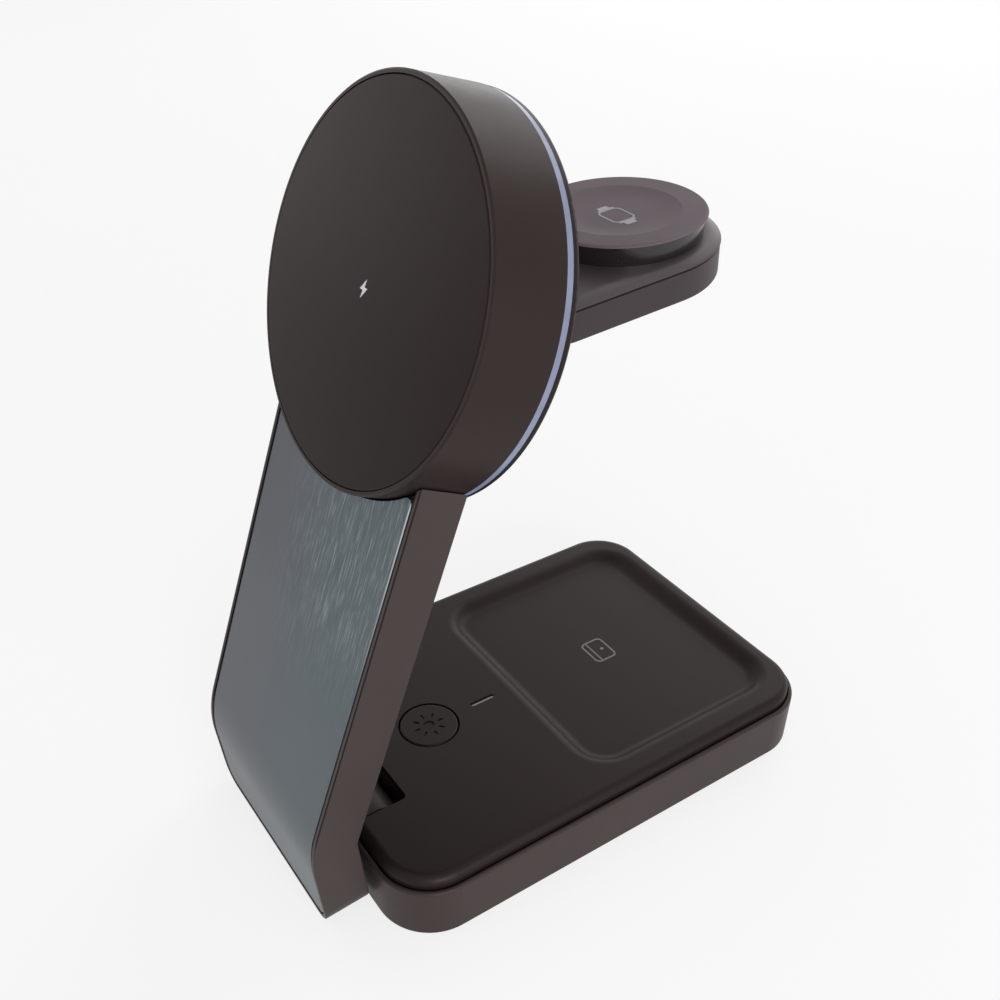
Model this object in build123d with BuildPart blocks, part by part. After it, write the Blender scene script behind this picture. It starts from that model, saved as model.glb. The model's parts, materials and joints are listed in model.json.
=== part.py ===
from build123d import *
import os
from math import cos, radians, sin, tan

# Driving sizes of the base, in millimetres
base_width = 75.5
base_length = 106.3
base_corner = 11.8
wall_top = 12.2
cover_top = 15.0
notch_depth = 13.2
dish_depth = 1.9

# Driving sizes of the arm, in millimetres and degrees
arm_width = 47.9
arm_thick = 9.5
arm_lean = 20.5
chin_lean = 4.6
bend_back = 3.0
bend_front = 27.0
bend_up = 12.0
head_up = 96.9

# Driving sizes of the phone head and of the watch arm
head_radius = 32.7
head_thick = 15.4
head_proud = 3.5
head_flare = 0.9
watch_half = 18.3
watch_thick = 7.0
watch_reach = 33.4
watch_tilt = 4.0
puck_radius = 15.9
puck_height = 3.85

# Clearances
seam_gap = 0.4
button_gap = 0.35
running_gap = 0.05
seat_gap = 0.03
side_gap = 0.1
stop_gap = 0.15
cradle_gap = 0.3
panel_gap = 0.4
fold_gap = 0.5

# Base levels and outlines
y_front = -base_length / 2
y_back = base_length / 2
foot_proud = 0.2
foot_sunk = 1.0
foot_inset = 6.5
foot_gap = 0.2
floor_top = foot_proud + 2.2
tray_wall = 1.8
rim_wall = 0.8
cover_under = cover_top - 2.0
skirt_bottom = wall_top - 1.8
skirt_wall = 1.5
cover_round = 1.9
cover_inset = rim_wall + seam_gap
cover_width = base_width - 2 * cover_inset
cover_length = base_length - 2 * cover_inset
cover_corner = base_corner - cover_inset
dish_width = base_width - 13.6
dish_front = y_front + 49.0
dish_back = y_back - 5.2
dish_length = dish_back - dish_front
dish_y = (dish_front + dish_back) / 2
dish_floor = cover_top - dish_depth
dish_under = dish_floor - 1.6
dish_slope = 52.0
dish_corner = 8.5
dish_round = 3.2
weight_front = y_front + 26.0
weight_back = y_back - 15.4
weight_side = 15.0
weight_corner = 3.0
weight_thick = 2.0

# Hinge of the arm, in the notch at the base's front
hinge_y = y_front + 7.0
hinge_z = cover_top - 6.7
knuckle_radius = 5.4
notch_half = arm_width / 2 - 8.9
washer_thick = 1.2
knuckle_half = notch_half - washer_thick - 2 * side_gap
cheek_out = notch_half + 3.8
cheek_top = cover_under - side_gap
pin_radius = 1.75
sill_top = hinge_z - 5.3
web_bottom = sill_top + stop_gap

# Button, light slot and board in the base
button_y = y_front + 27.4
button_radius = 6.3
button_travel = 0.5
flange_radius = button_radius + 1.5
flange_top = cover_under - side_gap
slot_y = y_front + 41.1
slot_length = 6.0
slot_width = 1.1
board_bottom = floor_top + 3.0
board_top = board_bottom + 1.2
board_width = base_width - 31.0
board_front = y_front + 18.0
board_back = y_back - 2.4
board_length = board_back - board_front
board_y = (board_front + board_back) / 2
stake_x = board_width / 2 - 3.0
stakes = [(sx * stake_x, y) for sx in (-1, 1) for y in (board_front + 3.5, board_back - 9.0)]
sun_radius = 1.2
sun_reach = 2.8
sun_ray = 1.35
sun_width = 0.5
sun_deep = 0.25
switch_top = board_top + 3.5
plunger_top = switch_top + 0.6
port_z = board_top + 1.58
post_x = base_width / 2 - 10.5
posts = [(sx * post_x, y) for sx in (-1, 1) for y in (y_front + 9.5, y_back - 8.5)]
post_top = floor_top + 3.5
post_radius = 2.9
screw_radius = 1.0

# Arm frame directions in the side plane, with the back of the bend as their reference
lean = radians(arm_lean)
chin = radians(chin_lean)
chin_gap = 1.4
chin_low = 7.1
chin_corner = 4.5
arm_dir = (sin(lean), cos(lean))
arm_norm = (-cos(lean), sin(lean))
chin_dir = (sin(chin), -cos(chin))
chin_norm = (-cos(chin), -sin(chin))
chin_depth = Axis((0, 0, 0), (0, -cos(chin), -sin(chin)))
mid_angle = (lean - chin) / 2
half_turn = (lean + chin) / 2
mid_norm = (-cos(mid_angle), sin(mid_angle))
vertex_y = y_front - chin_gap - chin_dir[0] * bend_up
vertex_z = hinge_z - chin_dir[1] * bend_up
chin_drop = bend_up + chin_low
arm_up = head_up - 0.475 * head_radius
panel_thick = 0.9
panel_sunk = 0.15
pocket_deep = panel_sunk + panel_thick
panel_rim = 1.0
pocket_half = arm_width / 2 - panel_rim
panel_half = pocket_half - panel_gap
frame_wall = 1.8
back_wall = 2.0

# Phone head frame, with its front face's centre as origin
head_y = vertex_y + arm_dir[0] * head_up + arm_norm[0] * (arm_thick + head_proud)
head_z = vertex_z + arm_dir[1] * head_up + arm_norm[1] * (arm_thick + head_proud)
head_front = (0, arm_norm[0], arm_norm[1])
head_upward = (0, arm_dir[0], arm_dir[1])
head_downward = (0, -arm_dir[0], -arm_dir[1])
head_plane = Plane(origin=(0, head_y, head_z), x_dir=(1, 0, 0), z_dir=head_front)
head_section = Plane(origin=(0, head_y, head_z), x_dir=(1, 0, 0), z_dir=head_downward)
head_axis = Axis((0, head_y, head_z), head_front)
ring_front = head_thick - 2.7
ring_back = head_thick - 1.5
face_radius = head_radius - 0.95
face_gap = 0.15
face_thick = 1.6
rear_radius = head_radius + head_flare
spigot_radius = rear_radius - 1.9
magnet_out = head_radius - 4.9
neck_half = arm_width / 2 - 16.0
neck_front = 5.6
neck_back = 10.2
neck_reach = rear_radius + 6.4
neck_screw = rear_radius + 4.1
neck_screws = [(sx * (neck_half - 3.0), -neck_screw) for sx in (-1, 1)]

# Watch arm frame, with its hinge axis as origin
watch_drop = head_thick + watch_thick / 2 + fold_gap
watch_y = head_y - arm_norm[0] * watch_drop
watch_z = head_z - arm_norm[1] * watch_drop
tilt = radians(watch_tilt)
watch_up = (0, -sin(tilt), cos(tilt))
watch_out = (0, cos(tilt), sin(tilt))
watch_in = (0, -cos(tilt), -sin(tilt))
watch_plane = Plane(origin=(0, watch_y, watch_z), x_dir=(1, 0, 0), z_dir=watch_up)
watch_side = Plane(origin=(0, watch_y, watch_z), x_dir=watch_out, z_dir=(1, 0, 0))
puck_y = watch_y + watch_out[1] * watch_reach
puck_z = watch_z + watch_out[2] * watch_reach
puck_section = Plane(origin=(0, puck_y, puck_z), x_dir=(1, 0, 0), z_dir=watch_in)
puck_axis = Axis((0, puck_y, puck_z), watch_up)
half_thick = watch_thick / 2
watch_seam = half_thick - 1.45
watch_band = 0.45
watch_ease = 60.0
watch_chamfer = 0.12
band_land = 0.02
band_round = min(0.5, (watch_band - watch_chamfer - band_land) / tan(radians(watch_ease) / 2))
lower_inset = 0.1
watch_floor = -half_thick + 1.5
watch_wall = 1.6
watch_root = half_thick + 3.0
watch_knuckle = 12.5
watch_pin = 1.5
ear_radius = half_thick + 0.2
ear_in = watch_knuckle + 0.4 + 2 * side_gap
ear_out = ear_in + 3.5
puck_top = half_thick + puck_height
puck_edge = puck_top - 0.35
puck_lid = puck_top - 1.4
puck_bore = puck_radius - 1.8
puck_floor = half_thick + 0.8

os.makedirs("parts", exist_ok=True)


def arm_band(near, far, up, down):
    """Side outline between two depths under the arm's front face, round the bend."""

    def arm_at(depth, along):
        lift = arm_thick - depth
        return (vertex_y + arm_norm[0] * lift + arm_dir[0] * along,
                vertex_z + arm_norm[1] * lift + arm_dir[1] * along)

    def chin_at(depth, along):
        lift = arm_thick - depth
        return (vertex_y + chin_norm[0] * lift + chin_dir[0] * along,
                vertex_z + chin_norm[1] * lift + chin_dir[1] * along)

    def bend_arc(depth):
        radius = bend_front + (bend_back - bend_front) * depth / arm_thick
        reach = (arm_thick - depth - radius) / cos(half_turn)
        centre_y = vertex_y + mid_norm[0] * reach
        centre_z = vertex_z + mid_norm[1] * reach
        return [(centre_y + norm[0] * radius, centre_z + norm[1] * radius)
                for norm in (arm_norm, mid_norm, chin_norm)]

    outer = bend_arc(near)
    inner = bend_arc(far)
    with BuildSketch(Plane.YZ) as outline:
        with BuildLine():
            Polyline(inner[0], arm_at(far, up), arm_at(near, up), outer[0])
            ThreePointArc(*outer)
            Polyline(outer[2], chin_at(near, down), chin_at(far, down), inner[2])
            ThreePointArc(*inner)
        make_face()
    return outline.sketch


def head_cone(gap):
    """Half section of the phone head's flared wall, grown by a gap."""
    slope = head_flare / ring_front
    with BuildSketch(head_section) as section:
        with BuildLine():
            Polyline(
                (0, 3),
                (head_radius + gap - 3 * slope, 3),
                (rear_radius + gap, -ring_front),
                (rear_radius + gap, -head_thick - 3),
                (0, -head_thick - 3),
                close=True,
            )
        make_face()
    return section.sketch


def watch_outline(level, inset):
    """Watch arm's plan at a level: straight sides, a round far end and eased root corners."""
    with BuildSketch(watch_plane.offset(level)) as plan:
        with Locations((0, (watch_root + inset + watch_reach) / 2)):
            Rectangle(2 * (watch_half - inset), watch_reach - watch_root - inset)
        fillet(plan.vertices().group_by(Axis.Y)[0], 4.0 - inset)
        with Locations((0, watch_reach)):
            Circle(watch_half - inset)
    return plan.sketch


# Base tray
with BuildPart() as base_tray:
    with BuildSketch(Plane.XY.offset(foot_proud)):
        RectangleRounded(base_width, base_length, base_corner)
    extrude(amount=wall_top - foot_proud)
    fillet(base_tray.faces().sort_by(Axis.Z)[-1].edges(), rim_wall - 0.2)
    fillet(base_tray.faces().sort_by(Axis.Z)[0].edges(), 0.2)
    with BuildSketch(Plane.XY.offset(floor_top)):
        RectangleRounded(base_width - 2 * tray_wall, base_length - 2 * tray_wall, base_corner - tray_wall)
    extrude(amount=wall_top, mode=Mode.SUBTRACT)
    with BuildSketch(Plane.XY.offset(skirt_bottom - 0.2)):
        RectangleRounded(base_width - 2 * rim_wall, base_length - 2 * rim_wall, base_corner - rim_wall)
    extrude(amount=wall_top, mode=Mode.SUBTRACT)
    with BuildSketch(Plane.XY.offset(foot_proud)):
        RectangleRounded(base_width - 2 * foot_inset, base_length - 2 * foot_inset, base_corner - foot_inset)
    extrude(amount=foot_sunk, mode=Mode.SUBTRACT)
    # Walls round the hinge notch, then the notch and its front sill
    with BuildSketch(Plane.XY.offset(floor_top)):
        with Locations((0, y_front + (tray_wall + notch_depth + 1.5) / 2)):
            Rectangle(2 * cheek_out, notch_depth + 1.5 - tray_wall + 0.4)
    extrude(amount=cheek_top - floor_top)
    with BuildSketch(Plane.XY.offset(floor_top)):
        with Locations((0, y_front + (tray_wall + notch_depth) / 2)):
            Rectangle(2 * notch_half, notch_depth - tray_wall)
    extrude(amount=cover_top, mode=Mode.SUBTRACT)
    with BuildSketch(Plane.XY.offset(sill_top)):
        with Locations((0, y_front + tray_wall / 2)):
            Rectangle(2 * notch_half, tray_wall + 2)
    extrude(amount=cover_top, mode=Mode.SUBTRACT)
    with BuildSketch(Plane.YZ):
        with Locations((hinge_y, hinge_z)):
            Circle(pin_radius + seat_gap)
    extrude(amount=cheek_out + 1, both=True, mode=Mode.SUBTRACT)
    # Screw posts and board stakes
    with BuildSketch(Plane.XY.offset(floor_top)):
        with Locations(*posts):
            Circle(post_radius)
    extrude(amount=post_top - floor_top)
    with BuildSketch(Plane.XY):
        with Locations(*posts):
            Circle(screw_radius + 0.15)
    extrude(amount=post_top + 1, mode=Mode.SUBTRACT)
    with BuildSketch(Plane.XY):
        with Locations(*posts):
            Circle(2.1)
    extrude(amount=floor_top + 1.0, mode=Mode.SUBTRACT)
    with BuildSketch(Plane.XY.offset(floor_top)):
        with Locations(*stakes):
            Circle(2.2)
    extrude(amount=board_bottom - floor_top)
    with BuildSketch(Plane.XY.offset(board_bottom)):
        with Locations(*stakes):
            Circle(0.9)
    extrude(amount=1.9)
    # Opening for the charging plug
    with BuildSketch(Plane(origin=(0, y_back + 1, port_z), x_dir=(1, 0, 0), z_dir=(0, -1, 0))):
        RectangleRounded(9.7, 3.9, 1.8)
    extrude(amount=tray_wall + 2, mode=Mode.SUBTRACT)
base_tray.part.label = "base_tray"
export_step(base_tray.part, "parts/base_tray.step")

# Base cover with the earbud dish
with BuildPart() as base_cover:
    with BuildSketch(Plane.XY.offset(skirt_bottom)):
        RectangleRounded(cover_width, cover_length, cover_corner)
    extrude(amount=cover_top - skirt_bottom)
    fillet(base_cover.faces().sort_by(Axis.Z)[-1].edges(), cover_round)
    with BuildSketch(Plane.XY.offset(skirt_bottom)):
        RectangleRounded(
            cover_width - 2 * skirt_wall, cover_length - 2 * skirt_wall, cover_corner - skirt_wall
        )
    extrude(amount=cover_under - skirt_bottom, mode=Mode.SUBTRACT)
    with BuildSketch(Plane.XY.offset(dish_under)):
        with Locations((0, dish_y)):
            RectangleRounded(dish_width, dish_length, dish_corner)
    extrude(amount=cover_under - dish_under)
    with BuildSketch(Plane.XY.offset(cover_top)):
        with Locations((0, dish_y)):
            RectangleRounded(dish_width, dish_length, dish_corner)
    extrude(amount=-dish_depth, taper=dish_slope, mode=Mode.SUBTRACT)
    fillet(base_cover.faces().sort_by(Axis.Z)[-1].inner_wires()[0].edges(), dish_round)
    dish_face = base_cover.faces().filter_by_position(Axis.Z, dish_floor - 0.01, dish_floor + 0.01)
    fillet(dish_face.edges(), dish_round)
    # Button hole, light slot and hinge notch
    with BuildSketch(Plane.XY.offset(cover_top)):
        with Locations((0, button_y)):
            Circle(button_radius + button_gap)
        with Locations((0, slot_y)):
            SlotOverall(slot_length, slot_width, rotation=90)
        with Locations((0, y_front + notch_depth / 2 - 2)):
            RectangleRounded(2 * notch_half, notch_depth + 4, 1.0)
    extrude(amount=-5, mode=Mode.SUBTRACT)
    with BuildSketch(Plane.XY.offset(skirt_bottom)):
        with Locations((0, y_front + (notch_depth + 2.2) / 2)):
            Rectangle(2 * cheek_out + 0.6, notch_depth + 2.2)
    extrude(amount=cover_under - skirt_bottom, mode=Mode.SUBTRACT)
    # Guide ring under the button hole and screw posts
    with BuildSketch(Plane.XY.offset(cover_under)):
        with Locations((0, button_y)):
            Circle(flange_radius + 1.5)
            Circle(flange_radius + 0.3, mode=Mode.SUBTRACT)
    extrude(amount=-2.4)
    with BuildSketch(Plane.XY.offset(post_top)):
        with Locations(*posts):
            Circle(post_radius - 0.3)
            Circle(screw_radius + seat_gap, mode=Mode.SUBTRACT)
    extrude(amount=dish_under - 0.4 - post_top)
    with BuildSketch(Plane.XY.offset(dish_under - 0.4)):
        with Locations(*posts):
            Circle(post_radius - 0.3)
    extrude(amount=cover_under - dish_under + 0.4)
base_cover.part.label = "base_cover"
export_step(base_cover.part, "parts/base_cover.step")

# Non-slip foot pad
with BuildPart() as foot_pad:
    with BuildSketch(Plane.XY):
        RectangleRounded(
            base_width - 2 * foot_inset - 2 * foot_gap,
            base_length - 2 * foot_inset - 2 * foot_gap,
            base_corner - foot_inset - foot_gap,
        )
    extrude(amount=foot_proud + foot_sunk)
    fillet(foot_pad.faces().sort_by(Axis.Z)[0].edges(), 0.2)
foot_pad.part.label = "foot_pad"
export_step(foot_pad.part, "parts/foot_pad.step")

# Steel counterweight on the tray's floor
with BuildPart() as counterweight:
    with BuildSketch(Plane.XY.offset(floor_top)):
        with Locations((0, (weight_front + weight_back) / 2)):
            RectangleRounded(base_width - 2 * weight_side, weight_back - weight_front, weight_corner)
    extrude(amount=weight_thick)
counterweight.part.label = "counterweight"
export_step(counterweight.part, "parts/counterweight.step")

# Main board, staked to the tray
with BuildPart() as main_board:
    with BuildSketch(Plane.XY.offset(board_bottom)):
        with Locations((0, board_y)):
            RectangleRounded(board_width, board_length, 1.5)
        with Locations(*stakes):
            Circle(1.0, mode=Mode.SUBTRACT)
    extrude(amount=board_top - board_bottom)
main_board.part.label = "main_board"
export_step(main_board.part, "parts/main_board.step")

# Chips on the main board
with BuildPart() as board_chips:
    with BuildSketch(Plane.XY.offset(board_top)):
        with Locations((-12, board_y - 10), (11, board_y - 4)):
            Rectangle(6, 6)
        with Locations((-12, board_y + 12), (12, board_y + 14)):
            Rectangle(5, 4)
    extrude(amount=1.0)
board_chips.part.label = "board_chips"
export_step(board_chips.part, "parts/board_chips.step")

# Charging port: folded metal shell and its tongue
port_plane = Plane(origin=(0, y_back - 0.4, port_z), x_dir=(1, 0, 0), z_dir=(0, -1, 0))
with BuildPart() as charging_port_shell:
    with BuildSketch(port_plane):
        RectangleRounded(8.94, 3.16, 1.5)
    extrude(amount=7.3)
    with BuildSketch(port_plane):
        RectangleRounded(8.34, 2.56, 1.2)
    extrude(amount=6.9, mode=Mode.SUBTRACT)
charging_port_shell.part.label = "charging_port_shell"
export_step(charging_port_shell.part, "parts/charging_port_shell.step")

with BuildPart() as charging_port_tongue:
    with BuildSketch(port_plane.offset(0.8)):
        RectangleRounded(6.69, 0.7, 0.3)
    extrude(amount=6.1)
    with BuildSketch(port_plane.offset(5.6)):
        RectangleRounded(8.2, 2.4, 1.1)
    extrude(amount=1.3)
charging_port_tongue.part.label = "charging_port_tongue"
export_step(charging_port_tongue.part, "parts/charging_port_tongue.step")

# Earbud coil and its ferrite sheet, held to the dish's underside
coil_inset = 4.0
coil_thick = 1.3
ferrite_edge = 1.0
ferrite_corner = 3.0
ferrite_thick = 0.9
coil_out = min(dish_width, dish_length) / 2 - coil_inset
with BuildPart() as earbud_coil:
    with BuildSketch(Plane.XY.offset(dish_under)):
        with Locations((0, dish_y)):
            Circle(coil_out)
            Circle(coil_out / 2, mode=Mode.SUBTRACT)
    extrude(amount=-coil_thick)
earbud_coil.part.label = "earbud_coil"
export_step(earbud_coil.part, "parts/earbud_coil.step")

with BuildPart() as earbud_ferrite:
    with BuildSketch(Plane.XY.offset(dish_under - coil_thick)):
        with Locations((0, dish_y)):
            ferrite_side = 2 * (coil_out + ferrite_edge)
            RectangleRounded(ferrite_side, ferrite_side, ferrite_corner)
    extrude(amount=-ferrite_thick)
earbud_ferrite.part.label = "earbud_ferrite"
export_step(earbud_ferrite.part, "parts/earbud_ferrite.step")

# Push switch on the board, its plunger and the button above it
with BuildPart() as switch_body:
    with BuildSketch(Plane.XY.offset(board_top)):
        with Locations((0, button_y)):
            RectangleRounded(6.2, 6.2, 0.5)
    extrude(amount=switch_top - board_top)
    with BuildSketch(Plane.XY.offset(switch_top)):
        with Locations((0, button_y)):
            Circle(1.75 + side_gap)
    extrude(amount=-2.0, mode=Mode.SUBTRACT)
switch_body.part.label = "switch_body"
export_step(switch_body.part, "parts/switch_body.step")

with BuildPart() as switch_plunger:
    with BuildSketch(Plane.XY.offset(plunger_top)):
        with Locations((0, button_y)):
            Circle(1.75)
    extrude(amount=-1.7)
switch_plunger.part.label = "switch_plunger"
export_step(switch_plunger.part, "parts/switch_plunger.step")

with BuildPart() as light_button:
    with BuildSketch(Plane.XY.offset(flange_top)):
        with Locations((0, button_y)):
            Circle(button_radius)
    extrude(amount=cover_top - flange_top)
    fillet(light_button.faces().sort_by(Axis.Z)[-1].edges(), 0.4)
    with BuildSketch(Plane.XY.offset(cover_top)):
        with Locations((0, button_y)):
            Circle(sun_radius)
            with PolarLocations(sun_reach, 8):
                SlotOverall(sun_ray, sun_width)
    extrude(amount=-sun_deep, mode=Mode.SUBTRACT)
    with BuildSketch(Plane.XY.offset(flange_top)):
        with Locations((0, button_y)):
            Circle(flange_radius)
    extrude(amount=-1.0)
    with BuildSketch(Plane.XY.offset(plunger_top)):
        with Locations((0, button_y)):
            Circle(1.6)
    extrude(amount=flange_top - plunger_top)
light_button.part.label = "light_button"
export_step(light_button.part, "parts/light_button.step")

# Indicator light pipe and the light under it
with BuildPart() as indicator_lens:
    with BuildSketch(Plane.XY.offset(cover_under)):
        with Locations((0, slot_y)):
            SlotOverall(slot_length - 0.2, slot_width - 0.2, rotation=90)
    extrude(amount=cover_top - 0.3 - cover_under)
    with BuildSketch(Plane.XY.offset(cover_under)):
        with Locations((0, slot_y)):
            RectangleRounded(3.4, slot_length + 2, 0.6)
    extrude(amount=-0.9)
    with BuildSketch(Plane.XY.offset(board_top + 1.0)):
        with Locations((0, slot_y)):
            Rectangle(1.6, 3.0)
    extrude(amount=cover_under - board_top - 1.5)
indicator_lens.part.label = "indicator_lens"
export_step(indicator_lens.part, "parts/indicator_lens.step")

with BuildPart() as indicator_led:
    with BuildSketch(Plane.XY.offset(board_top)):
        with Locations((0, slot_y)):
            Rectangle(0.8, 1.6)
    extrude(amount=0.7)
indicator_led.part.label = "indicator_led"
export_step(indicator_led.part, "parts/indicator_led.step")

# Hinge pin and its friction washers
with BuildPart() as hinge_pin:
    with BuildSketch(Plane.YZ):
        with Locations((hinge_y, hinge_z)):
            Circle(pin_radius)
    extrude(amount=cheek_out - 0.2, both=True)
    chamfer(hinge_pin.edges(), 0.3)
hinge_pin.part.label = "hinge_pin"
export_step(hinge_pin.part, "parts/hinge_pin.step")

with BuildPart() as hinge_washers:
    for washer_x in (knuckle_half + side_gap, -knuckle_half - side_gap - washer_thick):
        with BuildSketch(Plane.YZ.offset(washer_x)):
            with Locations((hinge_y, hinge_z)):
                Circle(4.2)
                Circle(pin_radius + running_gap, mode=Mode.SUBTRACT)
        extrude(amount=washer_thick)
hinge_washers.part.label = "hinge_washers"
export_step(hinge_washers.part, "parts/hinge_washers.step")

# Screws from under the foot pad into the cover's posts
with BuildPart() as base_screws:
    with BuildSketch(Plane.XY.offset(floor_top + 1.0)):
        with Locations(*posts):
            Circle(1.9)
    extrude(amount=-1.3)
    with BuildSketch(Plane.XY.offset(floor_top + 1.0)):
        with Locations(*posts):
            Circle(screw_radius)
    extrude(amount=6.0)
base_screws.part.label = "base_screws"
export_step(base_screws.part, "parts/base_screws.step")

# Arm frame: a bent box open to the front, with its cradle and hinge knuckle
with BuildPart() as arm_hollow:
    extrude(
        arm_band(pocket_deep - 0.5, arm_thick - back_wall, arm_up, chin_drop - 2.5),
        amount=pocket_half - 1.6,
        both=True,
    )
    revolve(head_cone(cradle_gap + frame_wall), head_axis, mode=Mode.SUBTRACT)

with BuildPart() as arm_pocket:
    extrude(arm_band(-1.0, pocket_deep, arm_up + 1, chin_drop - panel_rim), amount=pocket_half, both=True)
    fillet(arm_pocket.edges().filter_by(chin_depth), chin_corner - panel_rim)

with BuildPart() as arm_frame:
    extrude(arm_band(0, arm_thick, arm_up, chin_drop), amount=arm_width / 2, both=True)
    fillet(arm_frame.edges().filter_by(chin_depth), chin_corner)
    side_edges = arm_frame.faces().filter_by(Axis.X).edges()
    fillet([e for e in side_edges if e not in side_edges.filter_by(chin_depth)], 0.25)
    with BuildSketch(Plane.YZ):
        with BuildLine():
            Polyline(
                (hinge_y, web_bottom),
                (y_front - chin_gap - 2, web_bottom),
                (y_front - chin_gap - 2, hinge_z + knuckle_radius - 0.5),
                (hinge_y, hinge_z + knuckle_radius),
                close=True,
            )
        make_face()
        with Locations((hinge_y, hinge_z)):
            Circle(knuckle_radius)
    extrude(amount=knuckle_half, both=True)
    with BuildSketch(Plane.YZ):
        with Locations((hinge_y, hinge_z)):
            Circle(pin_radius + running_gap)
    extrude(amount=knuckle_half + 1, both=True, mode=Mode.SUBTRACT)
    add(arm_pocket.part, mode=Mode.SUBTRACT)
    add(arm_hollow.part, mode=Mode.SUBTRACT)
    revolve(head_cone(cradle_gap), head_axis, mode=Mode.SUBTRACT)
    # Opening for the head's neck and the two screw seats behind it
    with BuildSketch(head_plane.offset(-neck_front + side_gap)):
        with Locations((0, -rear_radius - 3)):
            Rectangle(2 * neck_half + 2 * side_gap, 12)
    extrude(amount=neck_front - neck_back - 2 * side_gap, mode=Mode.SUBTRACT)
    with BuildSketch(head_plane.offset(-neck_back)):
        with Locations(*neck_screws):
            Circle(2.0)
    extrude(amount=neck_back - head_proud - arm_thick + 1)
    with BuildSketch(head_plane.offset(-neck_back)):
        with Locations(*neck_screws):
            Circle(screw_radius + seat_gap)
    extrude(amount=-2.0, mode=Mode.SUBTRACT)
arm_frame.part.label = "arm_frame"
export_step(arm_frame.part, "parts/arm_frame.step")

# Brushed front panel, bent with the arm
with BuildPart() as arm_panel:
    panel_drop = chin_drop - panel_rim - panel_gap
    extrude(arm_band(panel_sunk, pocket_deep, arm_up, panel_drop), amount=panel_half, both=True)
    fillet(arm_panel.edges().filter_by(chin_depth), chin_corner - panel_rim - panel_gap)
    revolve(head_cone(cradle_gap + 0.1), head_axis, mode=Mode.SUBTRACT)
    tips = arm_panel.faces().filter_by(Axis.X).edges().group_by(Axis.Z)[-1]
    fillet(tips, 1.2)
arm_panel.part.label = "arm_panel"
export_step(arm_panel.part, "parts/arm_panel.step")

# Phone head: flared housing with its neck
with BuildPart() as head_housing:
    with BuildSketch(head_section):
        with BuildLine():
            Polyline(
                (face_radius + face_gap, -0.1),
                (head_radius - 0.3, -0.1),
                (head_radius, -0.4),
                (rear_radius, -ring_front),
                (spigot_radius, -ring_front),
                (spigot_radius, -head_thick + 5.6),
                (face_radius - 0.6, -face_thick - 1.8),
                (face_radius - 1.8, -face_thick - 1.8),
                (face_radius - 1.8, -face_thick),
                (face_radius + face_gap, -face_thick),
                close=True,
            )
        make_face()
    revolve(axis=head_axis)
    with BuildSketch(head_plane.offset(-neck_front)):
        with Locations((0, -(rear_radius - 1.2 + neck_reach) / 2)):
            Rectangle(2 * neck_half, neck_reach - rear_radius + 1.2)
    extrude(amount=neck_front - neck_back)
    with BuildSketch(head_plane.offset(-neck_front - 1.2)):
        with Locations((0, -rear_radius)):
            Rectangle(5.0, 24)
    extrude(amount=neck_front - neck_back + 2.4, mode=Mode.SUBTRACT)
    with BuildSketch(head_plane.offset(-neck_front)):
        with Locations(*neck_screws):
            Circle(screw_radius + 0.1)
    extrude(amount=neck_front - neck_back, mode=Mode.SUBTRACT)
    with BuildSketch(head_plane.offset(-neck_front)):
        with Locations(*neck_screws):
            Circle(2.0)
    extrude(amount=-1.0, mode=Mode.SUBTRACT)
head_housing.part.label = "head_housing"
export_step(head_housing.part, "parts/head_housing.step")

with BuildPart() as head_screws:
    with BuildSketch(head_plane.offset(-neck_front - 1.0)):
        with Locations(*neck_screws):
            Circle(1.8)
    extrude(amount=0.9)
    with BuildSketch(head_plane.offset(-neck_front - 1.0)):
        with Locations(*neck_screws):
            Circle(screw_radius)
    extrude(amount=neck_front - neck_back - 0.6)
head_screws.part.label = "head_screws"
export_step(head_screws.part, "parts/head_screws.step")

with BuildPart() as head_face:
    with BuildSketch(head_plane):
        Circle(face_radius)
    extrude(amount=-face_thick)
    chamfer(head_face.edges().sort_by(head_axis)[-1], 0.2)
head_face.part.label = "head_face"
export_step(head_face.part, "parts/head_face.step")

# Light ring between the housing and the back plate
with BuildPart() as light_ring:
    with BuildSketch(head_plane.offset(-ring_front)):
        Circle(rear_radius - 0.05)
        Circle(spigot_radius, mode=Mode.SUBTRACT)
    extrude(amount=ring_front - ring_back)
light_ring.part.label = "light_ring"
export_step(light_ring.part, "parts/light_ring.step")

# Back plate with its spigot, board posts and the watch hinge's ears
with BuildPart() as head_back_plate:
    with BuildSketch(head_plane.offset(-ring_back)):
        Circle(rear_radius)
    extrude(amount=ring_back - head_thick)
    fillet(head_back_plate.edges().sort_by(head_axis)[0], 0.9)
    with BuildSketch(head_plane.offset(-ring_back)):
        Circle(spigot_radius - seat_gap)
        Circle(spigot_radius - 1.5, mode=Mode.SUBTRACT)
    extrude(amount=4.0)
    with BuildSketch(head_plane.offset(-ring_back)):
        with PolarLocations(19.0, 3, start_angle=90):
            Circle(2.2)
    extrude(amount=ring_back - 9.2)
    for ear_x in (-ear_out, ear_in):
        ear_plane = Plane(origin=(ear_x, watch_y, watch_z), x_dir=head_upward, z_dir=(1, 0, 0))
        with BuildSketch(ear_plane):
            Circle(ear_radius)
            with Locations((0, (half_thick + fold_gap + 0.5) / 2)):
                Rectangle(2 * ear_radius, half_thick + fold_gap + 0.5)
        extrude(amount=ear_out - ear_in)
        with BuildSketch(ear_plane):
            Circle(watch_pin + seat_gap)
        extrude(amount=ear_out - ear_in, mode=Mode.SUBTRACT)
head_back_plate.part.label = "head_back_plate"
export_step(head_back_plate.part, "parts/head_back_plate.step")

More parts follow.
